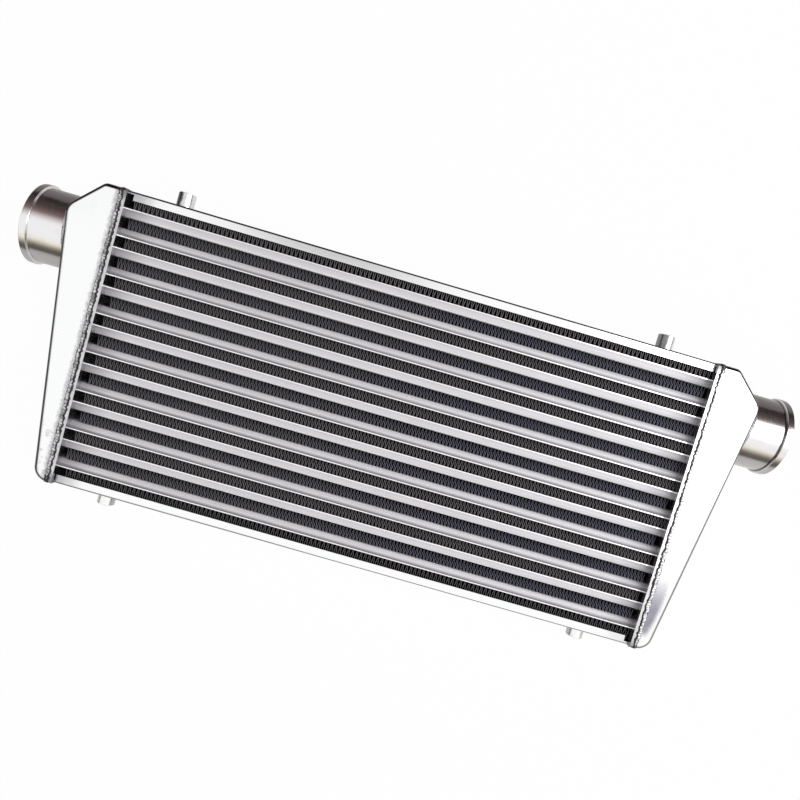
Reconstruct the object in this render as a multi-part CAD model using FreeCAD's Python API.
import FreeCAD, Part
import math
import os

# Front-mount air cooler for boost air, lying on its back.
# X runs along the tubes, Y runs up the tanks towards their pipes, Z runs out of the front face.
# The origin is under the middle of the cooler, where it rests on the crowns of its tank welds.
# All lengths are in millimetres and angles in degrees.

Vector = FreeCAD.Vector

# Core, the block of tubes and fins between the two header plates
core_length = 600.0
tube_count = 14
tube_height = 8.8
tube_depth = 66.0
tube_wall = 0.8
tube_nose_wall = 2.4
tube_web = 0.8
tube_web_count = 3
tube_nose_radius = 3.5
tube_lip_thickness = 1.0
tube_lip_reach = 1.2
tube_end_reach = 1.5

# Folded fin strips between the tubes
fin_height = 10.85
fin_depth = 62.0
fin_pitch = 36.5
fin_sheet = 0.55
fin_end_gap = 8.0

# Folded side channels that close the core above and below
channel_web = 3.0
channel_flange = 3.0
channel_height = 8.8
channel_depth = 70.0
channel_bend_radius = 2.0
channel_tongue = 5.0
channel_short_tongue = 1.0
edge_fin_showing = 8.0

# Header plates and end tanks
header_thickness = 4.5
tank_depth = 82.0
tank_overhang = 0.3
tank_wall = 3.0
tank_edge_bevel = 2.5
tank_top_flat = 18.1
tank_width = 49.6
tank_shoulder_drop = 30.4
tank_foot_width = 14.8
tank_brow_radius = 8.0
tank_shoulder_radius = 16.0
tank_foot_radius = 15.0

# Weld bead around each joint of tank and header plate
weld_width = 6.0
weld_crown = 0.8
weld_crown_slope = 1.1
weld_groove_width = 2.8
weld_groove_depth = 1.5
weld_header_cover = 2.0

# Round pipes with a raised bead at their mouths, reaching out from the header plates
pipe_outer_radius = 38.1
pipe_wall = 2.5
pipe_height_above_middle = 95.0
pipe_reach = 88.5
bead_height = 2.5
bead_width = 7.5
bead_slope = 0.9

# Threaded bosses welded on the side channels, set back from the header plates
boss_radius = 8.8
boss_height = 17.0
boss_setback = 43.0
boss_hole_radius = 3.4
boss_hole_depth = 15.0

# How many flats make up the small rounding of an edge
nose_flat_count = 2
bend_flat_count = 2

# Sizes that follow from the ones above
back_z = weld_crown
front_z = back_z + tank_depth
middle_z = (back_z + front_z) / 2.0
row_pitch = tube_height + fin_height
tube_stack = tube_count * tube_height + (tube_count - 1) * fin_height
core_height = tube_stack + 2.0 * (edge_fin_showing + channel_height)
tank_height = core_height + 2.0 * tank_overhang
header_inner_x = core_length / 2.0
header_outer_x = header_inner_x + header_thickness
tube_end_x = header_outer_x + tube_end_reach
channel_outer_y = core_height / 2.0
pipe_start_x = header_outer_x + tank_top_flat
pipe_end_x = header_outer_x + pipe_reach
pipe_bore_radius = pipe_outer_radius - pipe_wall
bead_radius = pipe_outer_radius + bead_height
bevel_growth = 2.0 - math.sqrt(2.0)
cut_margin = 10.0
touching = 1e-3


def outline(corners):
    """Closed wire through (first, second, radius) corners; a radius above zero rounds its corner."""
    count = len(corners)
    starts = []
    ends = []
    arcs = []
    for index in range(count):
        here = Vector(corners[index][0], corners[index][1], 0.0)
        before = Vector(corners[index - 1][0], corners[index - 1][1], 0.0)
        after = Vector(corners[(index + 1) % count][0], corners[(index + 1) % count][1], 0.0)
        radius = corners[index][2]
        if radius <= 0.0:
            starts.append(here)
            ends.append(here)
            arcs.append(None)
            continue
        to_before = (before - here).normalize()
        to_after = (after - here).normalize()
        half_angle = to_before.getAngle(to_after) / 2.0
        setback = radius / math.tan(half_angle)
        bisector = (to_before + to_after).normalize()
        centre = here + bisector * (radius / math.sin(half_angle))
        first = here + to_before * setback
        last = here + to_after * setback
        starts.append(first)
        ends.append(last)
        arcs.append(Part.Arc(first, centre - bisector * radius, last).toShape())
    edges = []
    for index in range(count):
        if arcs[index] is not None:
            edges.append(arcs[index])
        following = starts[(index + 1) % count]
        if (following - ends[index]).Length > touching:
            edges.append(Part.LineSegment(ends[index], following).toShape())
    return Part.Wire(edges)


def eased_corner(corner, inward_first, inward_second, radius, flat_count):
    """Corners along a square corner's rounding, from its first side to its second side."""
    points = []
    for step in range(flat_count + 1):
        angle = math.pi / 2.0 * step / flat_count
        along_first = radius * (1.0 - math.sin(angle))
        along_second = radius * (1.0 - math.cos(angle))
        points.append((corner[0] + inward_first * along_first, corner[1] + inward_second * along_second, 0.0))
    return points


def facing_along_x(wire, x_place):
    """Turn a wire drawn as (y, z) so that it stands square to X at x_place."""
    turn = FreeCAD.Matrix(0, 0, 1, x_place, 1, 0, 0, 0, 0, 1, 0, 0)
    return wire.transformed(turn)


def bar_along_x(corners, x_start, x_end, holes=()):
    """Straight bar with a (y, z) section and through holes, from x_start to x_end."""
    wires = [facing_along_x(outline(corners), x_start)]
    for hole in holes:
        wires.append(facing_along_x(outline(hole), x_start))
    section = Part.makeFace(wires, "Part::FaceMakerBullseye")
    return section.extrude(Vector(x_end - x_start, 0.0, 0.0))


def mirrored_left(shape):
    """Copy of a right-hand piece on the left of the object."""
    return shape.mirror(Vector(0.0, 0.0, 0.0), Vector(1.0, 0.0, 0.0))


def mirrored_down(shape):
    """Copy of an upper piece at the bottom of the object."""
    return shape.mirror(Vector(0.0, 0.0, 0.0), Vector(0.0, 1.0, 0.0))


def tube_middle_y(index):
    """Height of the middle of a tube, counted from the top."""
    return tube_stack / 2.0 - tube_height / 2.0 - index * row_pitch


def lip_side(index):
    """The lips of neighbouring tubes face each other in pairs, the first one upwards."""
    return 1.0 if index % 2 == 0 else -1.0


def tube_outline(index):
    """Outer (y, z) corners of a tube: square lips on one side, rounded noses on the other."""
    side = lip_side(index)
    middle = tube_middle_y(index)
    lip_y = middle + side * tube_height / 2.0
    step_y = lip_y - side * tube_lip_thickness
    round_y = middle - side * tube_height / 2.0
    front = middle_z + tube_depth / 2.0
    back = middle_z - tube_depth / 2.0
    front_corner = (round_y, front - tube_lip_reach)
    back_corner = (round_y, back + tube_lip_reach)
    front_nose = eased_corner(front_corner, side, -1.0, tube_nose_radius, nose_flat_count)
    back_nose = eased_corner(back_corner, side, 1.0, tube_nose_radius, nose_flat_count)
    corners = [
        (lip_y, front, 0.0),
        (step_y, front, 0.0),
        (step_y, front - tube_lip_reach, 0.0),
    ]
    corners += front_nose
    corners += back_nose[::-1]
    corners += [
        (step_y, back + tube_lip_reach, 0.0),
        (step_y, back, 0.0),
        (lip_y, back, 0.0),
    ]
    return corners


def tube_channels(index):
    """Corners of the air channels inside a tube, with a web between each two."""
    middle = tube_middle_y(index)
    high_y = middle + tube_height / 2.0 - tube_wall
    low_y = middle - tube_height / 2.0 + tube_wall
    inner_depth = tube_depth - 2.0 * (tube_lip_reach + tube_nose_wall)
    channel_count = tube_web_count + 1
    channel_width = (inner_depth - tube_web_count * tube_web) / channel_count
    channels = []
    for number in range(channel_count):
        back = middle_z - inner_depth / 2.0 + number * (channel_width + tube_web)
        front = back + channel_width
        channels.append([(high_y, front, 0.0), (low_y, front, 0.0), (low_y, back, 0.0), (high_y, back, 0.0)])
    return channels


def tube(index):
    """Flat extruded tube, open at both ends."""
    return bar_along_x(tube_outline(index), -tube_end_x, tube_end_x, tube_channels(index))


def fin_strip(low_y, high_y):
    """One strip of sheet folded into V after V, its creases resting on the faces at low_y and high_y."""
    length = core_length - 2.0 * fin_end_gap
    fold_count = max(1, round(length / fin_pitch))
    half_pitch = length / (2.0 * fold_count)
    steepness = math.atan2(high_y - low_y, half_pitch)
    drop = fin_sheet / math.cos(steepness)
    back = middle_z - fin_depth / 2.0
    upper = []
    lower = []
    for number in range(2 * fold_count + 1):
        x_place = -length / 2.0 + number * half_pitch
        top = high_y if number % 2 == 0 else low_y + drop
        upper.append(Vector(x_place, top, back))
        lower.append(Vector(x_place, top - drop, back))
    corners = upper + lower[::-1]
    sheet = Part.Face(Part.makePolygon(corners + corners[:1]))
    return sheet.extrude(Vector(0.0, 0.0, fin_depth))


def fin_rows():
    """Low and high seat of each fin strip, from the top; the outer two reach the channel webs."""
    rows = []
    high_y = channel_outer_y - channel_web
    for index in range(tube_count):
        rows.append((tube_middle_y(index) + tube_height / 2.0, high_y))
        high_y = tube_middle_y(index) - tube_height / 2.0
    rows.append((channel_web - channel_outer_y, high_y))
    return rows


def top_channel():
    """Channel folded from plate; its web runs on as a tongue, longer on the left, to each header plate."""
    front = middle_z + channel_depth / 2.0
    back = middle_z - channel_depth / 2.0
    top = channel_outer_y
    lips = top - channel_height
    web = top - channel_web
    section = eased_corner((top, back), -1.0, 1.0, channel_bend_radius, bend_flat_count)
    section += eased_corner((top, front), -1.0, -1.0, channel_bend_radius, bend_flat_count)[::-1]
    section += [
        (lips, front, 0.0),
        (lips, front - channel_flange, 0.0),
        (web, front - channel_flange, 0.0),
        (web, back + channel_flange, 0.0),
        (lips, back + channel_flange, 0.0),
        (lips, back, 0.0),
    ]
    channel = bar_along_x(section, -header_inner_x, header_inner_x)
    ends = ((-header_inner_x, channel_tongue), (header_inner_x - channel_short_tongue, channel_short_tongue))
    for x_start, tongue in ends:
        notch = Part.makeBox(tongue, channel_height, channel_depth)
        notch.translate(Vector(x_start, web - channel_height, back))
        channel = channel.cut(notch)
    return channel


def bottom_channel():
    """The same channel turned half round, so that its longer tongue is on the right."""
    return mirrored_left(mirrored_down(top_channel()))


def mouth_section(growth):
    """Corners of the tank's mouth and of the header plate, grown evenly on all sides."""
    half_height = tank_height / 2.0 + growth
    half_depth = tank_depth / 2.0 + growth
    bevel = tank_edge_bevel + growth * bevel_growth
    corners = []
    for side_y, side_z in ((1.0, 1.0), (-1.0, 1.0), (-1.0, -1.0), (1.0, -1.0)):
        on_face = (side_y * (half_height - bevel), middle_z + side_z * half_depth, 0.0)
        on_side = (side_y * half_height, middle_z + side_z * (half_depth - bevel), 0.0)
        corners += [on_side, on_face] if side_y * side_z > 0.0 else [on_face, on_side]
    return corners


def right_header_plate():
    """Plate with one slot for each tube end."""
    slots = [tube_outline(index) for index in range(tube_count)]
    return bar_along_x(mouth_section(0.0), header_inner_x, header_outer_x, slots)


def tank_outline(inset, mouth_x):
    """Tank seen from the front: flat top, slanted shoulder, long taper and round foot."""
    half_height = tank_height / 2.0
    brow = Vector(header_outer_x + tank_top_flat, half_height, 0.0)
    shoulder = Vector(header_outer_x + tank_width, half_height - tank_shoulder_drop, 0.0)
    foot = Vector(header_outer_x + tank_foot_width, -half_height, 0.0)
    slope_turn = (shoulder - brow).getAngle(Vector(1.0, 0.0, 0.0))
    taper_turn = (foot - shoulder).getAngle(Vector(0.0, -1.0, 0.0))
    half_corner = (math.pi / 2.0 + slope_turn - taper_turn) / 2.0
    shoulder_reach = inset / math.sin(half_corner)
    shoulder_aim = math.pi / 2.0 - taper_turn - half_corner
    brow_shift = inset * math.tan(slope_turn / 2.0)
    foot_shift = inset * math.tan((math.pi / 2.0 + taper_turn) / 2.0)
    return [
        (mouth_x, half_height - inset, 0.0),
        (brow.x - brow_shift, half_height - inset, tank_brow_radius - inset),
        (shoulder.x - shoulder_reach * math.cos(shoulder_aim),
         shoulder.y - shoulder_reach * math.sin(shoulder_aim), tank_shoulder_radius - inset),
        (foot.x - foot_shift, -half_height + inset, tank_foot_radius - inset),
        (mouth_x, -half_height + inset, 0.0),
    ]


def tank_block():
    """Outer form of the right tank, filled, with a bevel along its front and back outlines."""
    block = Part.Face(outline(tank_outline(0.0, header_outer_x))).extrude(Vector(0.0, 0.0, tank_depth))
    block.translate(Vector(0.0, 0.0, back_z))
    bevelled = []
    for edge in block.Edges:
        box = edge.BoundBox
        if box.ZLength < touching and box.XMax > header_outer_x + touching:
            bevelled.append(edge)
    return block.makeChamfer(tank_edge_bevel, bevelled)


def weld_groove_cutter():
    """Ring of material planed off the tank's mouth so that the weld has a groove to fill."""
    groove_end_x = header_outer_x + weld_groove_width
    narrow = facing_along_x(outline(mouth_section(-weld_groove_depth)), header_outer_x)
    wide = facing_along_x(outline(mouth_section(0.0)), groove_end_x)
    kept = Part.makeLoft([narrow, wide], True, True)
    sleeve = bar_along_x(mouth_section(cut_margin), header_outer_x, groove_end_x)
    return sleeve.cut(kept)


def right_tank(outer):
    """Hollow tank, open towards the header plate and towards its pipe."""
    cavity_face = Part.Face(outline(tank_outline(tank_wall, header_outer_x - cut_margin)))
    cavity = cavity_face.extrude(Vector(0.0, 0.0, tank_depth - 2.0 * tank_wall))
    cavity.translate(Vector(0.0, 0.0, back_z + tank_wall))
    bore_start = Vector(pipe_start_x, pipe_height_above_middle, middle_z)
    bore = Part.makeCylinder(pipe_bore_radius, tank_width, bore_start, Vector(1.0, 0.0, 0.0))
    return outer.cut(cavity).cut(bore)


def right_tank_weld(outer):
    """Weld bead that fills the groove and stands a little proud all round."""
    start_x = header_outer_x - weld_header_cover
    stations = (
        (start_x, 0.0),
        (start_x + weld_crown_slope, weld_crown),
        (start_x + weld_width - weld_crown_slope, weld_crown),
        (start_x + weld_width, 0.0),
    )
    wires = [facing_along_x(outline(mouth_section(growth)), place) for place, growth in stations]
    bead = Part.makeLoft(wires, True, True)
    plate = bar_along_x(mouth_section(0.0), header_inner_x, header_outer_x)
    return bead.cut(plate).cut(outer)


def right_pipe(outer):
    """Pipe cut to the slope of the tank wall, with a bead rolled at its mouth."""
    half_profile = [
        (pipe_start_x, pipe_bore_radius),
        (pipe_end_x, pipe_bore_radius),
        (pipe_end_x, bead_radius),
        (pipe_end_x - bead_width + bead_slope, bead_radius),
        (pipe_end_x - bead_width, pipe_outer_radius),
        (pipe_start_x, pipe_outer_radius),
    ]
    corners = [Vector(x, pipe_height_above_middle + radius, middle_z) for x, radius in half_profile]
    section = Part.Face(Part.makePolygon(corners + corners[:1]))
    axis_point = Vector(0.0, pipe_height_above_middle, middle_z)
    pipe = section.revolve(axis_point, Vector(1.0, 0.0, 0.0), 360.0)
    return pipe.cut(outer)


def top_right_boss():
    """Round boss with a blind threaded hole."""
    up = Vector(0.0, 1.0, 0.0)
    base = Vector(header_inner_x - boss_setback, channel_outer_y, middle_z)
    body = Part.makeCylinder(boss_radius, boss_height, base, up)
    hole_floor = base + up * (boss_height - boss_hole_depth)
    hole = Part.makeCylinder(boss_hole_radius, boss_hole_depth, hole_floor, up)
    return body.cut(hole)


def mounting_bosses():
    """Four separate bosses, two on each side channel."""
    top_right = top_right_boss()
    bottom_right = mirrored_down(top_right)
    return Part.makeCompound([top_right, mirrored_left(top_right), bottom_right, mirrored_left(bottom_right)])


def whole_cooler():
    """Every node's shape under its name; the like pieces of a node stay separate solids."""
    pieces = {}
    for index in range(tube_count):
        pieces["tube_%02d" % (index + 1)] = tube(index)
    for number, (low_y, high_y) in enumerate(fin_rows()):
        pieces["fin_row_%02d" % (number + 1)] = fin_strip(low_y, high_y)
    pieces["top_channel"] = top_channel()
    pieces["bottom_channel"] = bottom_channel()
    outer = tank_block().cut(weld_groove_cutter())
    right_hand = {
        "header_plate": right_header_plate(),
        "tank": right_tank(outer),
        "tank_weld": right_tank_weld(outer),
    }
    for name, shape in right_hand.items():
        pieces["right_" + name] = shape
        pieces["left_" + name] = mirrored_left(shape)
    pipe = right_pipe(outer)
    pieces["inlet_and_outlet_pipes"] = Part.makeCompound([pipe, mirrored_left(pipe)])
    pieces["mounting_bosses"] = mounting_bosses()
    return pieces


def main():
    os.makedirs("parts", exist_ok=True)
    for name, shape in whole_cooler().items():
        if not shape.Solids or not shape.isValid():
            raise RuntimeError(name + " is not sound")
        piece = shape.Solids[0] if len(shape.Solids) == 1 else Part.makeCompound(shape.Solids)
        piece.exportStep("parts/" + name + ".step")


if __name__ == "__main__":
    main()
